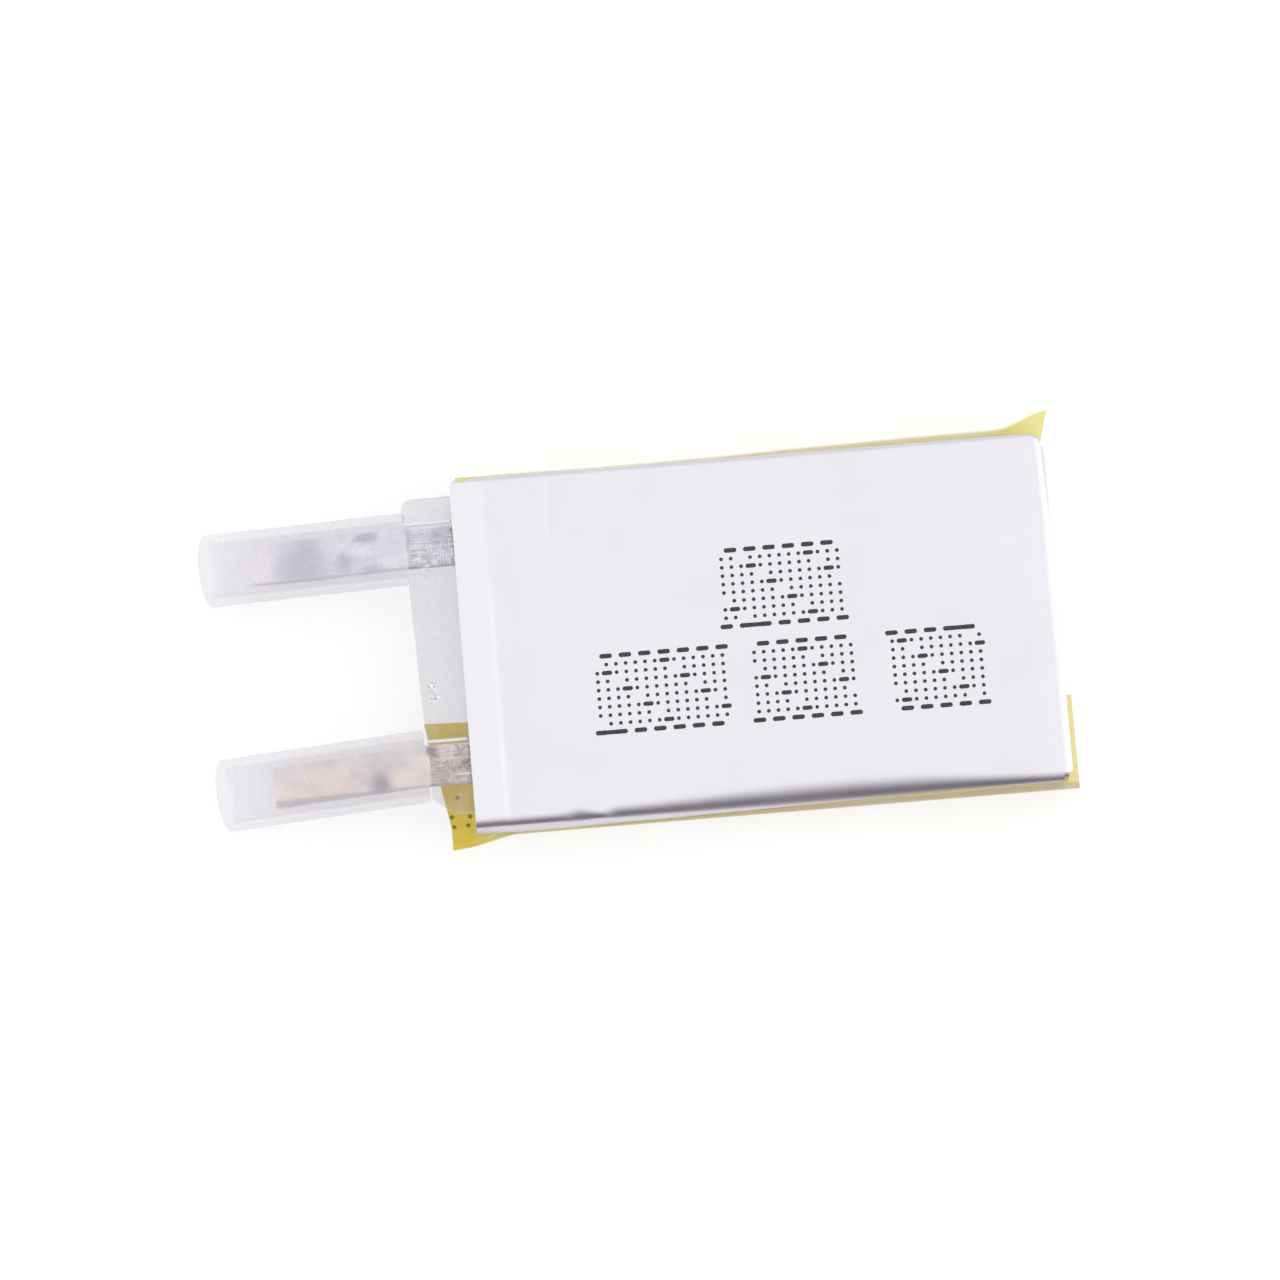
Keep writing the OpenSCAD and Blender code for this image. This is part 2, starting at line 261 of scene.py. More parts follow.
def shoulder_radius(x, side):
    """Radius of the top edge. The near one grows from the tab end, then tightens at the folded end."""
    if side > 0:
        return BEND_R + 0.05 * bump(0, 7, x)
    full = 0.33 * smooth(-6.4, 1.5, x) * (1 - smooth(5.0, 10.8, x))
    step = 0.13 * smooth(-6.3, -5.7, x) * (1 - smooth(3.0, 8.0, x))
    wrinkle = 0.16 * bump(-7.1, 0.45, x) - 0.06 * bump(-6.2, 0.3, x)
    return BEND_R + 0.10 + full + step + wrinkle


def cover_relief(x, y):
    """Height of the cover's outer face above the plain CAD height."""
    over_roll = smooth(-9.45, -8.4, x) * (1 - smooth(9.8, 10.8, x))
    crown = 0.05 * over_roll * (1 - smooth(5.2, 6.4, abs(y)))
    strong = 0.2 + 0.8 * smooth(3.2, 1.8, y) + 0.6 * bump(5.7, 0.3, y)
    seal_edge = 0.04 * strong * (1 - smooth(SEAL_EDGE_X - 0.07, SEAL_EDGE_X + 0.06, x))
    crease = -0.03 * bump(-7.25 + 0.05 * (y - 4.8), 0.13, x) * smooth(3.2, 4.4, y)
    dent = -0.02 * bump(-6.7, 0.5, x) * bump(5.0, 0.9, y)
    tabs = 0.018 * sum(bump(side * TAB_Y, TAB_HALF_W, y) for side in (-1, 1)) * (1 - smooth(-9.9, -9.5, x))
    waves = 0.008 * over_roll * rough(x, y, 3.1, 3.4) + 0.002 * rough(x, y, 7.7, 0.9)
    return crown + (seal_edge + crease + dent + tabs + waves) * (1 - smooth(5.9, 6.4, abs(y)))


def laminate_section(x, depth):
    """Points (y, z) across the pouch at x, at a depth below its outer face, from seal to seal."""
    halves = []
    for side in (-1, 1):
        r = shoulder_radius(x, side)
        centre_y = side * (SIDE_Y - r)
        centre_z = TOP_Z - r
        low_z = SEAL_LOW_Z + 0.03 * rough(x, side * 9, 1.7, 1.6)
        half = []
        for i in range(14):
            z = mix(low_z, centre_z, i / 14)
            dip = 0.016 * (1 - rough(x, z, side * 5, 1.1)) * smooth(0, 6, i) * smooth(14, 8, i)
            half.append((side * (SIDE_Y - depth - dip - side_lean(z)), z))
        for angle in steps(0, math.pi / 2, 12):
            lift = cover_relief(x, centre_y) * math.sin(angle)
            half.append((centre_y + side * (r - depth) * math.cos(angle),
                         centre_z + (r - depth) * math.sin(angle) + lift))
        halves.append(half)
    near, far = halves
    top = [(y, TOP_Z - depth + cover_relief(x, y)) for y in steps(near[-1][0], far[-1][0], 96)]
    return near + top[1:-1] + far[::-1]


def nose_x(y):
    """Where the folded end lies at y, with the round upright corners of the cup."""
    past = max(0.0, abs(y) - (CUP_SIDE_Y - NOSE_CORNER_R))
    pulled_in = 0.10 * smooth(2.5, 6.2, y)
    return NOSE_X - pulled_in - NOSE_CORNER_R + math.sqrt(max(0.0, NOSE_CORNER_R ** 2 - past ** 2))


def trimmed(x, y):
    """Moves points at the tab end so that the far corner of the laminate is cut round."""
    r = 0.38
    past = max(0.0, min(r, y - (SIDE_Y - r)))
    corner = r - math.sqrt(r * r - past * past)
    return x + corner * (1 - smooth(TAB_END_X, TAB_END_X + 1.2, x))


def pouch_cover():
    """Cover sheet: flat top, both side seals, the seal ridge over the tabs and the fold at the end."""
    stations = joined(steps(TAB_END_X, -6, 60), steps(-6, 9.6, 96), steps(9.6, NOSE_X - NOSE_R, 10))
    rows = [[(trimmed(x, y), y, z) for y, z in laminate_section(x, 0)] for x in stations]
    last = rows[-1]
    inside = [abs(p[1]) <= CUP_SIDE_Y for p in last]
    for angle in steps(0, math.pi / 2, 10)[1:]:
        row = []
        for p in last:
            end = nose_x(p[1])
            start = min(NOSE_X - NOSE_R, end - 0.02)
            row.append((start + (end - start) * math.sin(angle), p[1],
                        p[2] - NOSE_R * (1 - math.cos(angle))))
        rows.append(row)
    full = len(stations) - 1
    sheet = Builder()
    sheet.grid(rows, keep=lambda i, j: i < full or (inside[j] and inside[j + 1]), flip=True)
    piece = sheet.make("laminate_cover", SHEET_T)
    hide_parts("pouch_cover")
    return piece


def under_film_drop(y):
    """How far the lower sheet steps down under the film, most of all under a tab."""
    film = 2 * FILM_T * (1 - smooth(FILM_SIDE_Y - 0.02, FILM_SIDE_Y + 0.16, abs(y)))
    tab = TAB_T * (1 - smooth(TAB_HALF_W - 0.03, TAB_HALF_W + 0.25, abs(abs(y) - TAB_Y)))
    return film + tab


def cup_seals():
    """The cup's own sheet in the side seals and under the film at the tab end."""
    terrace_rows = 16
    terrace_end = CUP_START_X + 0.1
    stations = joined(steps(TAB_END_X, terrace_end, terrace_rows), steps(terrace_end, SEAL_END_X, 110))
    rows = []
    for x in stations:
        row = []
        for y, z in laminate_section(x, SHEET_T):
            on_top = z > TOP_Z - 2 * SHEET_T - 0.05
            row.append((trimmed(x, y), y, z - under_film_drop(y) * on_top))
        rows.append(row)
    edge_y = CUP_SIDE_Y - 0.25
    side_only = [abs(p[1]) > edge_y for p in rows[0]]
    return rows, lambda i, j: i < terrace_rows or (side_only[j] and side_only[j + 1])


def rounded_ring(half_l, half_w, r, z):
    """Points round a rectangle with round corners, about the middle of the cup."""
    middle_x = (NOSE_X + CUP_START_X) / 2
    corners = [(1, 1, 0), (-1, 1, 90), (-1, -1, 180), (1, -1, 270)]
    arcs = []
    for sx, sy, start in corners:
        arc = []
        for k in range(9):
            angle = math.radians(start + 90 * k / 8)
            arc.append((middle_x + sx * (half_l - r) + r * math.cos(angle),
                        sy * (half_w - r) + r * math.sin(angle)))
        arcs.append(arc)
    ring = []
    for k, arc in enumerate(arcs):
        ring.extend(arc)
        follow = arcs[(k + 1) % 4][0]
        count = 40 if k % 2 == 0 else 22
        for i in range(1, count):
            ring.append((mix(arc[-1][0], follow[0], i / count), mix(arc[-1][1], follow[1], i / count)))
    return [(x, y, z) for x, y in ring]


def pouch_cup():
    """Drawn cup with a round bottom edge, plus its share of the seals."""
    half_l = (NOSE_X - CUP_START_X) / 2
    half_w = CUP_SIDE_Y
    rim_z = TOP_Z - NOSE_R
    rings = []
    for t in steps(0.03, 1, 12):
        rings.append(rounded_ring((half_l - CUP_EDGE_R) * t, (half_w - CUP_EDGE_R) * t, 0.3 * t, CUP_LOW.z))
    for angle in steps(0, math.pi / 2, 9)[1:]:
        inset = CUP_EDGE_R * (1 - math.sin(angle))
        z = CUP_LOW.z + CUP_EDGE_R * (1 - math.cos(angle))
        width = half_w - inset - side_lean(z) * math.sin(angle)
        rings.append(rounded_ring(half_l - inset, width, mix(0.3, CUP_CORNER_R, math.sin(angle)), z))
    for z in steps(CUP_LOW.z + CUP_EDGE_R, rim_z, 16)[1:]:
        high = smooth(1.8, rim_z, z)
        width = half_w - 0.16 * high - side_lean(z)
        rings.append(rounded_ring(half_l, width, mix(CUP_CORNER_R, NOSE_CORNER_R, high), z))
    rings = [[dented(p, half_l, half_w) for p in ring] for ring in rings]
    sheet = Builder()
    sheet.grid(rings, round_rows=True)
    sheet.faces.append(tuple(range(len(rings[0])))[::-1])
    rows, keep = cup_seals()
    sheet.grid(rows, keep, flip=True)
    piece = sheet.make("laminate_cup", SHEET_T)
    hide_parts("pouch_cup")
    return piece


def dented(point, half_l, half_w):
    """Moves a point of the cup inwards for the fine marks that drawing leaves in the foil."""
    x, y, z = point
    low = 0.012 * (1 + rough(x, y, 0.3, 1.9)) * (1 - smooth(0.05, 0.5, z))
    flat = 1 - smooth(half_w - 1.4, half_w - 0.7, abs(y))
    side = smooth(half_w - 0.3, half_w, abs(y)) * smooth(0.3, 0.9, z)
    pull = side * 0.02 * (1 + rough(x, z, 5.5, 0.8))
    return (x, y - math.copysign(pull, y), z + low * flat)


# ---------------------------------------------------------------- sealing film

def near_tab(y):
    """1 over either tab and 0 away from both."""
    return 1 - smooth(TAB_HALF_W - 0.01, TAB_HALF_W + 0.20, abs(abs(y) - TAB_Y))


def film_edge(y):
    """Outer edge of the film, with round corners, the near one cut off at a slant."""
    r = 0.45
    past = max(0.0, abs(y) - (FILM_SIDE_Y - r))
    corner = r - math.sqrt(max(0.0, r * r - past * past))
    cut = 1.25 * max(0.0, -5.2 - y)
    notch = 0.06 * near_tab(y) + 0.02 * rough(0, y, 4.2, 1.3)
    return FILM_EDGE_X - 0.04 - 0.03 * y + max(corner, cut) + notch


def film_wave(x, y):
    """Gentle waves of the film outside the laminate, weaker over the tabs."""
    free = smooth(TAB_END_X - 0.1, TAB_END_X - 0.9, x)
    beside = 1 - 0.8 * bump(TAB_Y, 1.0, abs(y))
    return free * beside * (0.05 * rough(x, y, 2.2, 1.5) - 0.02)


def free_sag(x, y):
    """How far the upper layer sinks beside the tabs, outside the laminate."""
    return 0.06 * (1 - near_tab(y)) * smooth(TAB_END_X, TAB_END_X - 0.35, x)


def film_sheet(name, height, node):
    """One layer of the film. height(x, y) is the height of its lower face."""
    half_w = FILM_SIDE_Y - 0.002
    rows = []
    for angle in steps(-math.pi / 2, math.pi / 2, 110):
        y = max(-half_w, min(half_w, FILM_SIDE_Y * math.sin(angle)))
        rows.append([(x, y, height(x, y) + film_wave(x, y)) for x in steps(film_edge(y), FILM_HIGH.x, 36)])
    sheet = Builder()
    sheet.grid(rows)
    piece = sheet.make(name, FILM_T, offset=1.0)
    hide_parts(node)
    return piece


def tab_films():
    """Both layers of the film. The lower one rises beside the tabs to meet the upper one."""
    def top_z(x, y):
        return FILM_LOW.z - free_sag(x, y)

    def bottom_z(x, y):
        return FILM_UNDER_Z + TAB_T * (1 - near_tab(y)) - free_sag(x, y)

    top = film_sheet("film_top", top_z, "tab_film_top")
    bottom = film_sheet("film_bottom", bottom_z, "tab_film_bottom")
    return top, bottom


# ---------------------------------------------------------------- tabs and sleeves

class TabPlace:
    """Where one tab bends and which way it runs."""

    def __init__(self, name):
        self.name = name
        self.bend = Vector(joint(name + "_tab_bend")["pos_m"]) / MM
        self.along = Vector(joint(name + "_sleeve_slide")["axis"]).normalized()
        self.across = Vector(joint(name + "_tab_bend")["axis"]).normalized()
        self.up = self.along.cross(self.across).normalized()
        if self.up.z < 0:
            self.up = -self.up
        self.seed = 11.0 if name == "positive" else 37.0

    def point(self, along, across, up):
        """The point at these distances from the bend."""
        return self.bend + self.along * along + self.across * across + self.up * up


def turn_points(centre_x, centre_z, r, start, end):
    """Points (x, z) on a round turn, by angle in degrees."""
    return [(centre_x + r * math.cos(math.radians(a)), centre_z + r * math.sin(math.radians(a)))
            for a in steps(start, end, 8)]


def tab_path(name, tab_z):
    """Middle line (x, z) of a tab inside the cell: welded run, riser and run through the film."""
    low, high = box_mm(name + "_tab_root")
    r = 0.1
    riser_x = FILM_HIGH.x + 0.25
    weld_z = low.z + TAB_T / 2
    welded = [(high.x, weld_z), (mix(high.x, riser_x, 0.5), weld_z)]
    lower_turn = turn_points(riser_x + r, weld_z + r, r, 270, 180)
    upper_turn = turn_points(riser_x - r, tab_z - r, r, 0, 90)
    return welded + lower_turn + upper_turn


def tab_crumple(place, along, across):
    """Folds and twist of the soft strip inside its sleeve."""
    free = smooth(0.4, 1.3, along)
    if place.name == "positive":
        twist = 0.30 * bump(3.5, 0.8, along) - 0.12 * bump(5.3, 0.6, along)
        folds = 0.16 * bump(1.6, 1.2, along) * rough(along * 1.3 + across, across, place.seed, 0.6)
    else:
        twist = -0.10 * bump(4.0, 1.2, along) + 0.05
        folds = -0.10 * bump(1.75, 0.28, along) * bump(-0.35, 0.3, across)
    fine = 0.025 * rough(along, across, place.seed + 3, 0.4)
    return free * (twist * across + folds + fine)


def tab_strip(place):
    """One continuous metal strip, from the weld inside the roll to the free end in the sleeve."""
    tab_z = place.bend.z
    columns = steps(-TAB_HALF_W, TAB_HALF_W, 18)
    sides = [place.bend.y + c for c in columns]
    rows = []
    for x, z in tab_path(place.name, tab_z):
        rows.append([(x, y, z) for y in sides])
    for x in steps(FILM_HIGH.x, place.bend.x + 0.12, 34)[1:]:
        rows.append([(x, y, tab_z + film_wave(x, y)) for y in sides])
    length = (box_mm(place.name + "_tab_lead")[0].x - place.bend.x) / place.along.x
    for along in steps(0.1, length, 84):
        corner = 0.05 * smooth(length - 0.06, length, along)
        rows.append([place.point(along, c * (1 - corner), tab_crumple(place, along, c)) for c in columns])
    strip = Builder()
    strip.grid(rows)
    piece = strip.make(place.name + "_tab", TAB_T, offset=0.0)
    mark_strip(piece, place)
    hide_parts(place.name + "_tab_root", place.name + "_tab_lead")
    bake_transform(piece)
    return piece


def mark_strip(piece, place):
    """Keeps each point's place along and across the strip, so that its finish moves with it."""
    marks = piece.data.attributes.new("strip_place", "FLOAT_VECTOR", "POINT")
    for vertex, mark in zip(piece.data.vertices, marks.data):
        from_bend = vertex.co / MM - place.bend
        mark.vector = (from_bend.dot(place.along), from_bend.y, 0)


def sleeve(place):
    """Soft hollow tube with rounded rims, a slanting outer end and a slightly uneven wall.

    slid is how far it is pushed on over the film. The film pushes its mouth back by a few tenths of a
    millimetre when the tab is bent.
    """
    slid = 0.20 if place.name == "positive" else 0.34
    mouth = -0.02 - slid
    end = 0.13 + SLEEVE_L - 0.27 * slid
    mouth_slope = math.tan(math.radians(10))
    end_slope = math.tan(math.radians(2))
    around = 72
    rows = []
    for k in range(around):
        turn = 2 * math.pi * k / around
        below_top = SLEEVE_R * (1 - math.cos(turn))
        rows.append(sleeve_line(place, turn, mouth + below_top * mouth_slope, end - below_top * end_slope))
    tube = Builder()
    tube.grid(rows, round_rows=True, round_columns=True)
    piece = tube.make(place.name + "_tube")
    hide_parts(place.name + "_sleeve")
    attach(piece, place.name + "_sleeve")
    place.point(end, 0, 0) * MM
    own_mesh(piece)
    return piece


def sleeve_line(place, turn, start, end):
    """One closed loop of points along the tube: out along the outside, round the rim and back inside."""
    half_wall = SLEEVE_WALL / 2
    middle_r = SLEEVE_R - half_wall
    rim = SLEEVE_WALL * 0.4
    length = end - start
    straight = [start + rim + (length - 2 * rim) * t for t in steps(0, 1, 44)]
    half_turn = steps(0, math.pi, 8)[1:-1]
    loop = [(along, SLEEVE_R) for along in straight]
    loop += [(end - rim + rim * math.sin(a), middle_r + half_wall * math.cos(a)) for a in half_turn]
    loop += [(along, SLEEVE_R - SLEEVE_WALL) for along in straight[::-1]]
    loop += [(start + rim - rim * math.sin(a), middle_r - half_wall * math.cos(a)) for a in half_turn]
    line = []
    for along, r in loop:
        uneven = 0.012 * rough(along, turn, place.seed, 2.3) * smooth(start, start + 0.8, along)
        flare = 0.01 * smooth(start + 0.3, start, along)
        r += uneven + flare - 0.012
        line.append(place.point(along, r * math.sin(turn), r * math.cos(turn)))
    return line


# ---------------------------------------------------------------- side tapes

def wrapped(distance, r, share):
    """(outwards, up) of a point on a tape past the start of its turn. share 1 is a full quarter turn."""
    arc = math.pi / 2 * r
    full = share * math.pi / 2
    if full < 0.001:
        return distance, 0.0
    bend_r = arc / full
    angle = min(distance, arc) / bend_r
    out = bend_r * math.sin(angle)
    up = bend_r * (1 - math.cos(angle))
    rest = max(0.0, distance - arc)
    return out + rest * math.cos(full), up + rest * math.sin(full)


def near_tape():
    """Tape under the near side. It turns up the side, further towards the folded end, and flares free
    of the cell at the tab end.
    """
    turn_r = 0.55
    turn_y = -(SIDE_Y + TAPE_T - turn_r)
    flare_end = NEAR_LOW.x + 2.6
    rows = []
    for t in joined(steps(0, 0.25, 60), steps(0.25, 1, 90)):
        inner = Vector((mix(NEAR_LOW.x, NEAR_HIGH.x, t), mix(-2.0, -2.85, t)))
        outer_x = mix(NEAR_LOW.x + 0.7, NEAR_HIGH.x, t)
        wall = 1.95 * near_tape_rise(outer_x)
        share = smooth(flare_end - 2.0, flare_end + 0.6, outer_x)
        curl = 0.22 * (1 - ramp(NEAR_LOW.x + 0.7, flare_end, outer_x)) ** 1.2
        past_turn = math.pi / 2 * turn_r * mix(0.72, 1.0, share) + wall + curl
        row = []
        for k in steps(0, 1, 30):
            row.append((mix(inner.x, outer_x, k), mix(inner.y, turn_y, k), 0.0))
        for k in steps(0, 1, 32)[1:]:
            out, up = wrapped(past_turn * k, turn_r, share)
            lift = 0.16 * (1 - share) * k * k
            pull = 0.16 * smooth(8.5, 11.1, outer_x) * smooth(0.1, 2.2, up)
            lean = side_lean(up) * share * smooth(0, 0.3, up)
            row.append((outer_x - pull, turn_y - out + lean, up + lift))
        rows.append(row)
    sheet = Builder()
    sheet.grid(rows)
    piece = sheet.make("near_tape", TAPE_T, offset=1.0)
    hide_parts("near_side_tape")
    return piece


def near_tape_rise(x):
    """How far up the side the near tape reaches, from 0 to 1."""
    return mix(ramp(-8.6, 7.5, x), smooth(-8.6, 7.0, x), 0.5)


def far_tape():
    """Tape up the whole far side. Its upper corner leans away at the folded end, and it curls over
    the pouch's corner at the tab end.
    """
    turn_r = 0.35
    turn_y = SIDE_Y + TAPE_T - turn_r
    inner_y = FAR_LOW.y
    rim_z = FAR_HIGH.z
    straight_l = 2.85
    curl_r = 0.40
    rows = []
    for t in joined(steps(0, 0.75, 90), steps(0.75, 1, 40)):
        low_x = mix(FAR_LOW.x + 0.2, NOSE_X - 0.1, t)
        high_x = mix(FAR_LOW.x + 0.3, NOSE_X + 0.25, t)
        wall_l = straight_l + 0.50 * bump(-10.42, 0.26, low_x)
        row = [(low_x, y, 0.0) for y in steps(inner_y, turn_y, 16)]
        for k in steps(0, 1, 44)[1:]:
            distance = wall_l * k
            out, up = wrapped(min(distance, straight_l), turn_r, 1.0)
            high = smooth(0.4, rim_z, up)
            lean = (0.04 + 0.19 * smooth(-5, 9.5, low_x) + 0.55 * smooth(8.6, 10.75, low_x) ** 1.3) * high
            wave = 0.02 * high * rough(low_x, up, 8.8, 2.5)
            over = max(0.0, distance - straight_l) / curl_r
            row.append((mix(low_x, high_x, up / rim_z),
                        turn_y + out + lean + wave - curl_r * (1 - math.cos(over)) - side_lean(up) * 0.6,
                        up + curl_r * math.sin(over)))
        rows.append(row)
    sheet = Builder()
    sheet.grid(rows)
    piece = sheet.make("far_tape", TAPE_T, offset=-1.0)
    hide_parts("far_side_tape")
    return piece


# ---------------------------------------------------------------- generic dot print

class Print:
    """A flat dot-matrix pattern of bars and dashes. It spells nothing."""

    def __init__(self):
        self.ink = Builder()

    def mark(self, x, y, half_l, half_w):
        """One flat oval or round spot of ink that follows the cover's height."""
        count = 14
        ring = []
        for k in range(count):
            angle = 2 * math.pi * k / count
            straight = math.copysign(half_l - half_w, math.cos(angle))
            px = x + straight + half_w * math.cos(angle) * (1 + 0.12 * rough(x, y, k, 0.7))
            py = y + half_w * math.sin(angle)
            ring.append((px, py, TOP_Z + cover_relief(px, py) + 0.006))
        base = len(self.ink.points)
        self.ink.points.extend(ring)
        self.ink.faces.append(tuple(range(base, base + count)))

    def fence(self, start_x, low_y, columns, rows, shift):
        """Rows of dots, with dashes along the top and the bottom and a few stepped dashes between."""
        pitch_x = 0.35
        pitch_y = 0.31
        for c in range(columns):
            x = start_x + c * pitch_x
            for r in range(rows):
                edge = r in (0, rows - 1)
                stair = (r + c + shift) % 7 == 3
                if edge and (c + r + shift) % 2 == 0:
                    self.mark(x, low_y + r * pitch_y, 0.23, 0.085)
                elif stair and c % 2 == 1:
                    self.mark(x, low_y + r * pitch_y, 0.19, 0.08)
                elif not edge and not stair:
                    self.mark(x, low_y + r * pitch_y, 0.07, 0.07)

    def make(self):
        """A short block over three blocks in a row."""
        self.fence(-1.2, 0.15, 13, 10, 0)
        self.fence(-6.0, -3.35, 14, 10, 2)
        self.fence(-0.3, -3.35, 11, 10, 4)
        self.fence(4.7, -3.35, 10, 10, 1)
        return self.ink.make("print_marks", 0.004, offset=1.0)


# ---------------------------------------------------------------- materials

class Nodes:
    """A short way to write the nodes of a material, or of the world given as owner."""

    def __init__(self, name, owner=None):
        self.owner = owner or bpy.data.materials.new(name)
        self.owner.use_nodes = True
        self.tree = self.owner.node_tree
        self.tree.nodes.clear()

    def add(self, kind, inputs=None, **settings):
        """A new node with these inputs, each a value or another node's output."""
        node = self.tree.nodes.new(kind)
        for key, value in settings.items():
            setattr(node, key, value)
        for key, value in (inputs or {}).items():
            self.put(node.inputs[key], value)
        return node

    def put(self, socket, value):
        """Links an output to the socket, or sets its plain value."""
        if isinstance(value, bpy.types.NodeSocket):
            self.tree.links.new(value, socket)
        else:
            socket.default_value = value

    def position(self, stretch=(1, 1, 1)):
        """Place on the object in millimetres, stretched for grain that runs one way."""
        place = self.add("ShaderNodeTexCoord").outputs["Object"]
        scale = [s / MM for s in stretch]
        return self.add("ShaderNodeMapping", {"Vector": place, "Scale": scale}).outputs[0]

    def noise(self, size, detail=3.0, stretch=(1, 1, 1), roughness=0.5):
        """Noise from 0 to 1 with features of about size millimetres."""
        node = self.add("ShaderNodeTexNoise", {"Vector": self.position(stretch), "Scale": 1 / size,
                                               "Detail": detail, "Roughness": roughness})
        return node.outputs["Fac"]

    def ramp(self, value, low, high, out_low=0.0, out_high=1.0):
        """A straight run from out_low to out_high as value goes from low to high."""
        node = self.add("ShaderNodeMapRange", {"Value": value, "From Min": low, "From Max": high,
                                               "To Min": out_low, "To Max": out_high})
        return node.outputs["Result"]

    def blend(self, share, a, b):
        """Mix of two colours."""
        node = self.add("ShaderNodeMix", data_type="RGBA")
        self.put(node.inputs["Factor"], share)
        self.put(node.inputs["A"], a)
        self.put(node.inputs["B"], b)
        return node.outputs["Result"]

    def maths(self, operation, a, b=0.0):
        """One step of arithmetic on numbers or outputs."""
        node = self.add("ShaderNodeMath", operation=operation)
        self.put(node.inputs[0], a)
        self.put(node.inputs[1], b)
        return node.outputs[0]

    def relief(self, height, strength, distance):
        """A surface normal from a height. distance is in millimetres."""
        inputs = {"Height": height, "Strength": strength, "Distance": distance * MM}
        return self.add("ShaderNodeBump", inputs).outputs["Normal"]

    def parts(self, vector):
        """The X, Y and Z of a vector."""
        return self.add("ShaderNodeSeparateXYZ", {"Vector": vector}).outputs[:3]

    def spot(self, place, centre, size):
        """1 inside an oval spot and 0 outside it, with a soft rim."""
        shifted = self.add("ShaderNodeVectorMath", {0: place, 1: centre}, operation="SUBTRACT")
        scaled = self.add("ShaderNodeVectorMath", {0: shifted.outputs[0], 1: size}, operation="DIVIDE")
        length = self.add("ShaderNodeVectorMath", {0: scaled.outputs[0]}, operation="LENGTH")
        return self.ramp(length.outputs["Value"], 0.35, 1.0, 1.0, 0.0)

    def facing(self, power):
        """0 where the surface faces the view, rising to 1 where it is seen edge on."""
        return self.add("ShaderNodeLayerWeight", {"Blend": power}).outputs["Facing"]

    def mix_shader(self, share, a, b):
        """Mix of two surfaces."""
        return self.add("ShaderNodeMixShader", {0: share, 1: a, 2: b}).outputs[0]

    def transparent(self, *tint):
        """A clear surface with a tint."""
        return self.add("ShaderNodeBsdfTransparent", {"Color": (*tint, 1)}).outputs[0]

    def translucent(self, colour):
        """A surface lit from behind."""
        return self.add("ShaderNodeBsdfTranslucent", {"Color": colour}).outputs[0]

    def principled(self, **inputs):
        """A principled surface. An input's name is written with _ for each space."""
        names = {key.replace("_", " "): value for key, value in inputs.items()}
        return self.add("ShaderNodeBsdfPrincipled", names).outputs[0]

    def done(self, surface):
        """Sets the surface and returns the finished material."""
        self.add("ShaderNodeOutputMaterial", {"Surface": surface})
        return self.owner


def grey(value):
    """A grey colour."""
    return (value, value, value, 1)


def laminate_material():
    """Nylon-coated aluminium: satin, with rolling lines and cloudy marks, and a painted highlight that
    makes the seal terrace at the tab end brighter.
    """
    n = Nodes("laminate")
    rolling = n.noise(0.06, 4, stretch=(0.05, 1, 1))
    cloud = n.noise(2.6, 4)
    pits = n.noise(0.16, 2)
    colour = n.blend(n.ramp(cloud, 0.35, 0.65), (0.831, 0.827, 0.863, 1), (0.853, 0.850, 0.888, 1))
    rough_value = n.ramp(n.maths("ADD", cloud, rolling), 0.7, 1.3, 0.30, 0.40)
    x, _, _ = n.parts(n.position())
    # Painted highlight: the seal terrace at the tab end is painted brighter, for the brighter reflection it
    # catches.
    terrace_highlight = n.ramp(x, SEAL_EDGE_X, SEAL_EDGE_X - 0.1, 0.0, 0.8)
    colour = n.blend(terrace_highlight, colour, (0.88, 0.878, 0.905, 1))
    height = n.maths("ADD", n.maths("MULTIPLY", rolling, 0.5), pits)
    return n.done(n.principled(Base_Color=colour, Metallic=1.0, Roughness=rough_value,
                               Coat_Weight=0.25, Coat_Roughness=0.22,
                               Normal=n.relief(height, 0.35, 0.004)))


def film_material():
    """Milky polypropylene: see-through where it lies on metal, whiter in painted highlight lines beside the
    tabs and where it is torn.
    """
    n = Nodes("tab_film")
    cloud = n.noise(0.9, 4)
    body = n.principled(Base_Color=(0.84, 0.83, 0.85, 1), Roughness=n.ramp(cloud, 0.3, 0.7, 0.25, 0.4),
                        Normal=n.relief(n.noise(0.3, 4), 0.3, 0.01))
    clear = n.transparent(0.948, 0.944, 0.953)
    share = n.ramp(n.facing(0.6), 0.1, 0.9, 0.03, 0.5)
    share = n.maths("ADD", share, n.ramp(cloud, 0.45, 0.75, 0.0, 0.06))
    share = n.maths("ADD", share, film_highlights_and_tears(n))
    return n.done(n.mix_shader(share, clear, body))


# Small tears in the film: distance in from its outer edge, and place across the cell
TEARS = ((0.55, 3.15), (0.40, -1.1), (0.50, -1.5))


def film_highlights_and_tears(n):
    """Painted highlight lines where the film steps down past each tab's far edge, and a few small white
    tears.
    """
    place = n.position()
    x, y, _ = n.parts(place)
    # Painted highlight: a pale line in the film along each tab's far edge.
    lines = 0.0
    for side in (-1, 1):
        away = n.maths("ABSOLUTE", n.maths("SUBTRACT", y, side * TAB_Y + TAB_HALF_W + 0.13))
        lines = n.maths("ADD", n.ramp(away, 0.02, 0.08, 0.6, 0.0), lines)
    lines = n.maths("MULTIPLY", lines, n.ramp(x, TAB_END_X, TAB_END_X - 0.1))
    torn = n.ramp(n.noise(0.12, 1), 0.50, 0.56, 0.0, 0.7)
    tears = 0.0
    for from_edge, across in TEARS:
        centre = (FILM_EDGE_X + from_edge, across, FILM_LOW.z)
        tears = n.maths("ADD", n.spot(place, centre, (0.22, 0.3, 2)), tears)
    return n.maths("ADD", lines, n.maths("MULTIPLY", tears, torn))


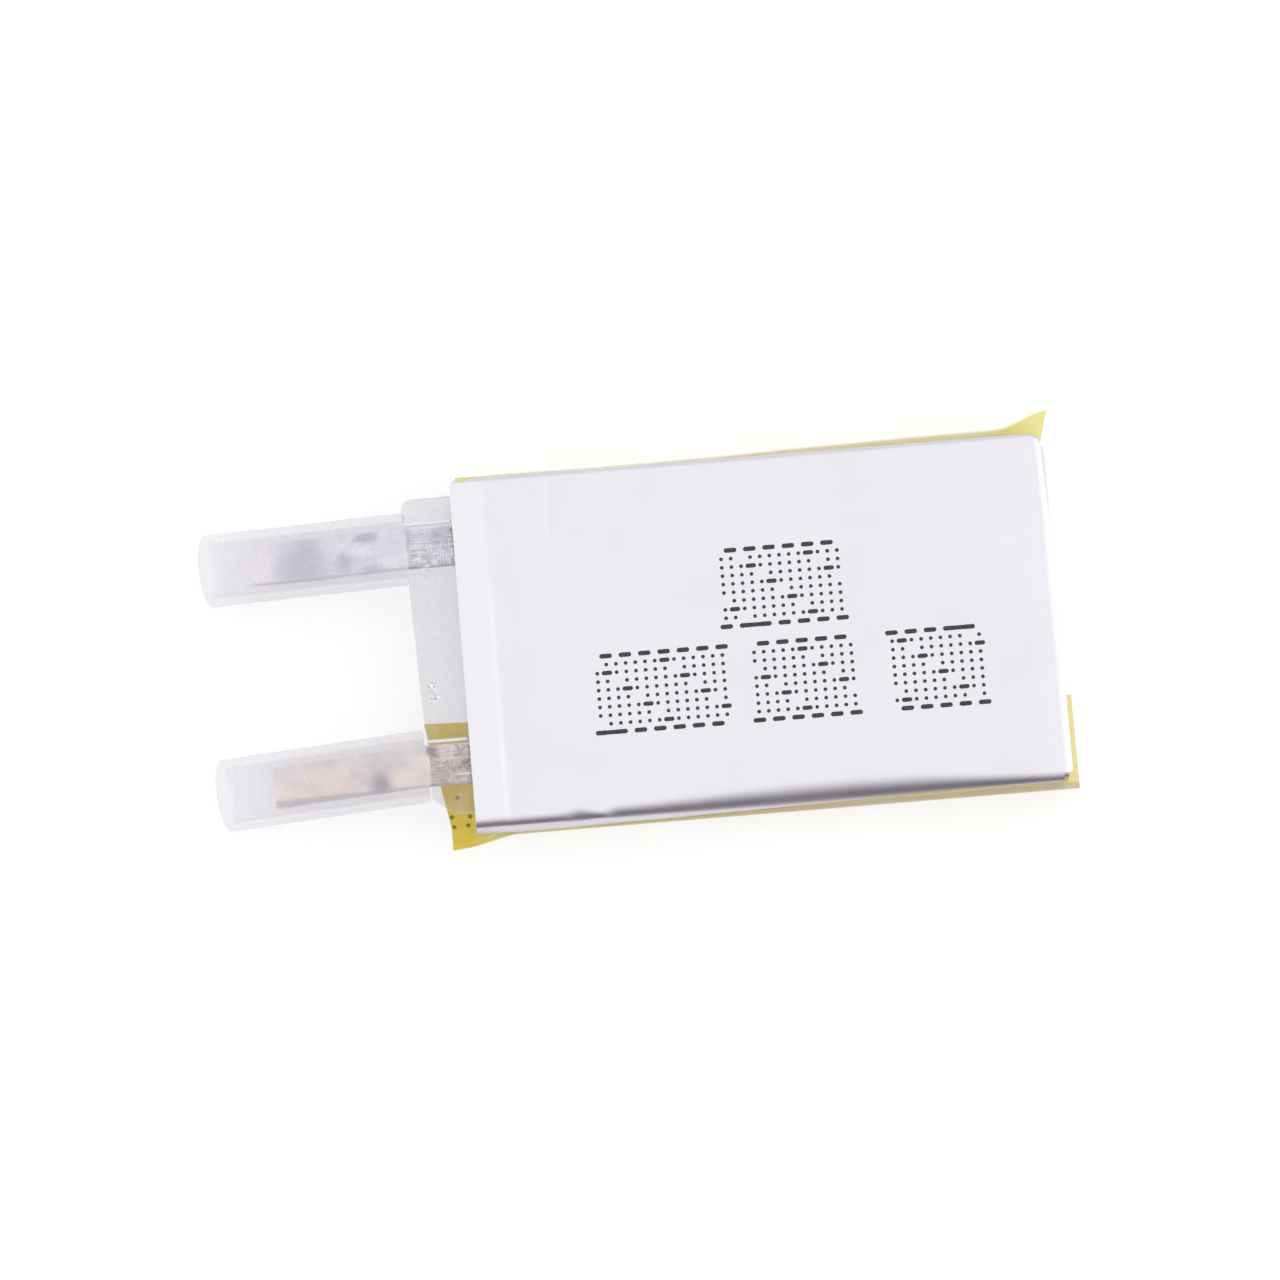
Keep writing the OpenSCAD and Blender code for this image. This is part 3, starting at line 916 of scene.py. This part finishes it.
def sleeve_material():
    """Soft milky tube: clear enough above the strip to show it, denser lower down and at its outer end."""
    n = Nodes("sleeve")
    end_x = box_mm("positive_sleeve")[0].x
    place = TabPlace("positive")
    slope = place.along.z / place.along.x
    cloud = n.noise(1.4, 3)
    body = n.principled(Base_Color=(0.868, 0.857, 0.888, 1), Roughness=n.ramp(cloud, 0.3, 0.7, 0.50, 0.60),
                        Normal=n.relief(n.noise(0.9, 2, stretch=(0.25, 1, 1)), 0.12, 0.02))
    milky = n.mix_shader(0.5, body, n.translucent((0.878, 0.862, 0.898, 1)))
    clear = n.transparent(0.975, 0.975, 0.98)
    x, _, z = n.parts(n.position())
    along_slope = n.maths("MULTIPLY", x, slope)
    strip_z = n.maths("ADD", along_slope, place.bend.z - slope * place.bend.x)
    above_strip = n.maths("SUBTRACT", z, strip_z)
    lower = n.ramp(above_strip, 0.70, 0.30, 0.0, 0.17)
    outer = n.ramp(x, end_x + 0.9, end_x + 0.4, 0.0, 0.19)
    share = n.maths("ADD", n.ramp(cloud, 0.3, 0.7, 0.255, 0.285), n.maths("MAXIMUM", lower, outer))
    return n.done(n.mix_shader(share, clear, milky))


def strip_material(name, dark, light, roughness, patches):
    """Rolled metal strip, cloudy and finely scratched, with patches of painted highlight and painted shade
    on its folds and a painted shadow line along its near edge.
    """
    n = Nodes(name)
    place = n.add("ShaderNodeAttribute", attribute_name="strip_place").outputs["Vector"]
    cloud = n.noise(0.7, 4)
    scratch = n.noise(0.05, 3, stretch=(0.06, 1, 1))
    colour = n.blend(n.ramp(cloud, 0.35, 0.65), dark, light)
    # The patches paint the highlights and the shade of the folds.
    for centre, size, tone, strength in patches:
        share = n.maths("MULTIPLY", n.spot(place, (*centre, 0), (*size, 1)), strength)
        colour = n.blend(share, colour, (*tone, 1))
    _, across, _ = n.parts(place)
    # Painted shadow: a thin dark line along the strip's near edge.
    edge_shadow = n.ramp(across, 0.03 - TAB_HALF_W, 0.11 - TAB_HALF_W, 0.6, 0.0)
    colour = n.blend(edge_shadow, colour, grey(0.22))
    height = n.maths("ADD", scratch, n.noise(0.3, 3))
    return n.done(n.principled(Base_Color=colour, Metallic=1.0,
                               Roughness=n.ramp(scratch, 0.3, 0.7, *roughness),
                               Normal=n.relief(height, 0.4, 0.01)))


# Painted highlights and painted shade of the folds on the free strips: place (along, across), size, colour
# and strength
ALUMINIUM_FOLD_LIGHT_AND_SHADE = (
    ((5.4, 0.0), (0.80, 1.3), (1.0, 0.92, 0.90), 0.9),
    ((3.95, -0.15), (1.15, 0.95), (0.46, 0.50, 0.60), 0.9),
    ((2.35, -0.25), (0.40, 0.45), (0.42, 0.45, 0.54), 0.7),
    ((2.55, 0.35), (0.45, 0.30), (1.0, 0.98, 0.98), 0.8),
    ((1.55, 0.1), (0.75, 0.22), (1.0, 0.98, 0.98), 0.9),
    ((0.65, -0.4), (0.60, 0.28), (1.0, 0.96, 0.94), 0.9),
    ((1.45, 0.58), (0.65, 0.26), (0.26, 0.28, 0.38), 0.8),
    ((0.85, 0.62), (0.25, 0.20), (1.0, 0.98, 0.98), 0.9),
    ((1.3, -0.6), (0.7, 0.25), (0.45, 0.45, 0.50), 0.6),
    ((-0.3, -0.25), (0.4, 0.6), (1.0, 1.0, 1.0), 0.8),
)
NICKEL_FOLD_LIGHT_AND_SHADE = (
    ((5.3, -0.4), (0.55, 0.6), (1.0, 0.82, 0.68), 0.9),
    ((4.6, -0.5), (0.35, 0.4), (1.0, 0.82, 0.68), 0.7),
    ((3.4, -0.2), (1.1, 0.75), (0.98, 0.80, 0.68), 0.8),
    ((0.8, -0.35), (0.75, 0.5), (1.0, 0.84, 0.70), 0.9),
    ((1.65, -0.5), (0.5, 0.55), (0.16, 0.15, 0.18), 0.95),
    ((-0.3, 0.55), (0.35, 0.25), (0.2, 0.18, 0.17), 0.6),
)


def tape_material(name, colour, edge, edge_range, opacity, free_end=None, pale_rim=None):
    """Thin yellow adhesive tape: glossy and slightly see-through, in another tone where it is seen edge on.

    edge_range says how flat the view has to be for the edge tone. free_end is the lowest corner of a
    tape whose end lies free: it is a deeper yellow there, with specks of dust. pale_rim is the lowest and
    highest corner of a tape whose upper rim gets a painted pale highlight between its two end corners, for
    light seen through the tape against the white surroundings.
    """
    n = Nodes(name)
    cloud = n.noise(1.1, 4)
    tone = n.blend(n.ramp(n.facing(0.4), *edge_range), colour, edge)
    tone = n.blend(n.ramp(cloud, 0.3, 0.7, 0.0, 0.3), tone, tuple(0.78 * c for c in colour[:3]) + (1,))
    tint = (0.97, 0.93, 0.66, 1)
    x, _, z = n.parts(n.position())
    if pale_rim:
        low, high = pale_rim
        # Painted highlight: the upper rim is painted pale, for light seen through the tape against the
        # white surroundings.
        rim_highlight = n.ramp(z, high.z - 0.9, high.z - 0.4, 0.0, 0.9)
        rim_highlight = n.maths("MULTIPLY", rim_highlight, n.ramp(x, high.x - 1.4, high.x - 2.8))
        rim_highlight = n.maths("MULTIPLY", rim_highlight, n.ramp(x, low.x + 0.7, low.x + 1.2))
        tone = n.blend(rim_highlight, tone, (1.0, 0.94, 0.84, 1))
        tint = n.blend(rim_highlight, tint, (0.99, 0.97, 0.92, 1))
    if free_end:
        on_end = n.ramp(x, free_end.x + 1.4, free_end.x + 2.2, 1.0, 0.0)
        tone = n.blend(on_end, tone, (0.82, 0.70, 0.13, 1))
        tint = n.blend(on_end, tint, (0.93, 0.84, 0.42, 1))
        tone = n.blend(specks(n, free_end), tone, (0.05, 0.05, 0.02, 1))
    body = n.principled(Base_Color=tone, Roughness=n.ramp(cloud, 0.3, 0.7, 0.22, 0.36),
                        Coat_Weight=0.4, Coat_Roughness=0.12,
                        Normal=n.relief(n.noise(0.6, 4), 0.3, 0.02))
    solid = n.mix_shader(0.35, body, n.translucent(tone))
    clear = n.add("ShaderNodeBsdfTransparent", {"Color": tint}).outputs[0]
    return n.done(n.mix_shader(opacity, clear, solid))


# Specks of dust in the adhesive: distance in from the tape's free corner
SPECKS = ((0.74, 1.30), (1.40, 1.28), (1.31, 0.96), (0.80, 0.93), (1.00, 2.00))


def specks(n, corner):
    """Small dark spots of dust caught in the adhesive near a corner of the tape."""
    place = n.position()
    dust = 0.0
    for x, y in SPECKS:
        spot = n.spot(place, (corner.x + x, corner.y + y, 0), (0.11, 0.11, 9))
        dust = n.maths("ADD", spot, dust)
    return n.maths("MINIMUM", dust, 0.9)


def plain_sheet_material(name, dark, light, metallic, roughness, grain):
    """The pieces inside the pouch: foils, coats, separators and thin tapes."""
    n = Nodes(name)
    cloud = n.noise(grain * 8, 3)
    fine = n.noise(grain, 3)
    colour = n.blend(n.ramp(n.maths("ADD", cloud, fine), 0.7, 1.3), dark, light)
    return n.done(n.principled(Base_Color=colour, Metallic=metallic,
                               Roughness=n.ramp(fine, 0.3, 0.7, *roughness),
                               Normal=n.relief(fine, 0.3, grain * 0.1)))


def ink_material():
    """Jet-printed ink: near black, matt, thinner and greyer in places."""
    n = Nodes("print_ink")
    thin = n.ramp(n.noise(0.09, 3), 0.35, 0.7)
    colour = n.blend(thin, (0.012, 0.012, 0.016, 1), (0.05, 0.05, 0.06, 1))
    return n.done(n.principled(Base_Color=colour, Roughness=n.ramp(thin, 0, 1, 0.45, 0.7)))


def paint(piece, material):
    """Gives a piece its material."""
    piece.data.materials.clear()
    piece.data.materials.append(material)


# Pieces inside the pouch: finish, nodes, two tones, metallic, range of roughness, size of the grain
INSIDE = (
    ("separator", ("inner_separator", "outer_separator"), grey(0.78), grey(0.88), 0.0, (0.45, 0.6), 0.05),
    ("aluminium_foil", ("cathode_foil",), grey(0.72), grey(0.85), 1.0, (0.22, 0.35), 0.04),
    ("copper_foil", ("anode_foil",), (0.75, 0.38, 0.24, 1), (0.88, 0.5, 0.33, 1), 1.0, (0.25, 0.4), 0.04),
    ("cathode_coat", ("cathode_coat_inner", "cathode_coat_outer"), grey(0.015), grey(0.05), 0.0,
     (0.6, 0.8), 0.03),
    ("anode_coat", ("anode_coat_inner", "anode_coat_outer"), grey(0.03), grey(0.08), 0.0, (0.5, 0.7), 0.03),
    ("green_tape", ("termination_tape",), (0.03, 0.22, 0.09, 1), (0.06, 0.33, 0.14, 1), 0.0,
     (0.3, 0.45), 0.08),
    ("amber_tape", ("positive_tab_tape", "negative_tab_tape"), (0.5, 0.22, 0.02, 1), (0.7, 0.35, 0.05, 1),
     0.0, (0.25, 0.4), 0.08),
)


def paint_inside():
    """Procedural finishes for the CAD pieces that stay inside the pouch."""
    for name, nodes, *look in INSIDE:
        material = plain_sheet_material(name, *look)
        for node in nodes:
            mesh = frame["nodes"][node].data
            mesh.materials.clear()
            mesh.materials.append(material)


# ---------------------------------------------------------------- stage

def floor():
    """A wide pale floor. It is see-through from below, so that the underside can be looked at."""
    n = Nodes("floor")
    shaded = n.add("ShaderNodeBsdfDiffuse", {"Color": grey(0.99)}).outputs[0]
    even = n.add("ShaderNodeEmission", {"Color": grey(1.0), "Strength": 1.0}).outputs[0]
    matt = n.mix_shader(0.7, shaded, even)
    behind = n.add("ShaderNodeNewGeometry").outputs["Backfacing"]
    material = n.done(n.mix_shader(behind, matt, n.transparent(1, 1, 1)))
    half = 3000 * MM
    height = -0.02 * MM
    corners = [(-half, -half, height), (half, -half, height), (half, half, height), (-half, half, height)]
    mesh = bpy.data.meshes.new("floor")
    mesh.from_pydata(corners, [], [(0, 1, 2, 3)])
    mesh.materials.append(material)
    piece = bpy.data.objects.new("floor", mesh)
    bpy.context.scene.collection.objects.link(piece)
    piece.visible_diffuse = False
    piece.visible_glossy = False
    piece.visible_transmission = False
    piece.visible_shadow = False


# Brightness that reflections meet, by the sine of the height above the horizon
NEAR_SKY = ((-1.0, 0.90), (-0.90, 0.74), (-0.66, 0.26), (-0.30, 0.12), (0.10, 0.13), (0.45, 0.36),
            (0.80, 0.80), (0.97, 1.0))
ROUND_SKY = ((-1.0, 0.90), (-0.4, 0.86), (0.0, 0.72), (0.3, 0.80), (0.7, 0.98), (0.95, 1.02))


def sky_ramp(n, height, stops):
    """A smooth run of greys, slightly violet where it is dark."""
    node = n.add("ShaderNodeValToRGB")
    n.put(node.inputs[0], n.ramp(height, -1, 1))
    node.color_ramp.interpolation = "B_SPLINE"
    marks = node.color_ramp.elements
    while len(marks) < len(stops):
        marks.new(0.5)
    for mark, (place, value) in zip(marks, stops):
        mark.position = (place + 1) / 2
        mark.color = (value, value * mix(0.84, 0.985, value), value * 1.02, 1)
    return node.outputs["Color"]


def world():
    """White surroundings. Reflections see a darker band round the horizon, darkest on the near side, and
    a bright folded end.
    """
    surroundings = bpy.data.worlds.new("studio")
    bpy.context.scene.world = surroundings
    n = Nodes("studio", surroundings)
    x, y, z = n.parts(n.add("ShaderNodeTexCoord").outputs["Generated"])
    near = sky_ramp(n, z, NEAR_SKY)
    around = sky_ramp(n, z, ROUND_SKY)
    mirror = n.blend(n.ramp(y, 0.05, -0.35), around, near)
    mirror = n.blend(n.ramp(x, 0.2, 0.7), mirror, (1.2, 1.2, 1.23, 1))
    kind = n.add("ShaderNodeLightPath")
    colour = n.blend(kind.outputs["Is Glossy Ray"], (1.0, 1.0, 1.0, 1), mirror)
    back = n.add("ShaderNodeBackground", {"Color": colour, "Strength": 1.0}).outputs[0]
    n.add("ShaderNodeOutputWorld", {"Surface": back})


def area_light(name, position, target, size, power):
    """A soft square light that faces its target and isn't seen in reflections."""
    data = bpy.data.lights.new(name, "AREA")
    data.shape = "SQUARE"
    data.size = size * MM
    data.energy = power
    light = bpy.data.objects.new(name, data)
    bpy.context.scene.collection.objects.link(light)
    light.visible_glossy = False
    light.location = Vector(position) * MM
    light.rotation_euler = (Vector(target) - Vector(position)).to_track_quat("-Z", "Y").to_euler()


def lights(middle):
    """One soft light from above and one from the folded end, both aimed at the middle."""
    area_light("key", middle + Vector((140, 60, 320)), middle, 220, 0.25)
    area_light("side", middle + Vector((330, -60, 130)), middle, 150, 0.15)


def camera(aim):
    """Looks down steeply from the near side, a little to the left, from far away."""
    azimuth = math.radians(-4.73)
    elevation = math.radians(80.0)
    lens = 250.0
    sensor = 36.0
    view_w = 46.63
    back = Vector((math.sin(azimuth) * math.cos(elevation), -math.cos(azimuth) * math.cos(elevation),
                   math.sin(elevation)))
    data = bpy.data.cameras.new("camera")
    data.lens = lens
    data.sensor_width = sensor
    data.clip_start = 0.001
    data.clip_end = 10.0
    eye = bpy.data.objects.new("camera", data)
    bpy.context.scene.collection.objects.link(eye)
    eye.location = (aim + back * (view_w * lens / sensor)) * MM
    eye.rotation_euler = (-back).to_track_quat("-Z", "Y").to_euler()
    bpy.context.scene.camera = eye


# ---------------------------------------------------------------- the whole cell

def build():
    """Makes and paints every visible piece."""
    laminate = laminate_material()
    film = film_material()
    soft = sleeve_material()
    for piece in (pouch_cover(), pouch_cup()):
        paint(piece, laminate)
        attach(piece, "cell")
    for piece in tab_films():
        paint(piece, film)
        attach(piece, "cell")
    metals = {
        "positive": ("aluminium_tab", strip_material("aluminium_tab", (0.66, 0.69, 0.77, 1),
                                                     (0.88, 0.89, 0.95, 1), (0.25, 0.42),
                                                     ALUMINIUM_FOLD_LIGHT_AND_SHADE)),
        "negative": ("nickel_tab", strip_material("nickel_tab", (0.68, 0.60, 0.57, 1),
                                                  (0.88, 0.79, 0.74, 1), (0.28, 0.45),
                                                  NICKEL_FOLD_LIGHT_AND_SHADE)),
    }
    for name, (slot, metal) in metals.items():
        place = TabPlace(name)
        paint(tab_strip(place), metal)
        paint(sleeve(place), soft)
    near = near_tape()
    paint(near, tape_material("near_tape", (0.90, 0.83, 0.50, 1), (0.62, 0.50, 0.36, 1), (0.35, 0.9),
                              0.62, free_end=NEAR_LOW))
    far = far_tape()
    # The far tape's pale edge-on tone is a painted highlight, for light seen through the tape against the
    # white surroundings.
    paint(far, tape_material("far_tape", (0.97, 0.93, 0.50, 1), (1.0, 0.92, 0.80, 1), (0.80, 0.93),
                             0.58, pale_rim=(FAR_LOW, FAR_HIGH)))
    marks = Print().make()
    paint(marks, ink_material())
    for piece in (near, far, marks):
        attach(piece, "cell")
    paint_inside()


build()
floor()
world()
low, high = cad_bounds
cell_middle = (low + high) / 2 / MM
aim_from_middle = Vector((0.174, 0.633, -2.011))  # the point in the middle of the picture
lights(Vector((cell_middle.x, 0, 0)))
camera(cell_middle + aim_from_middle)
bpy.context.scene.view_settings.view_transform = "Standard"
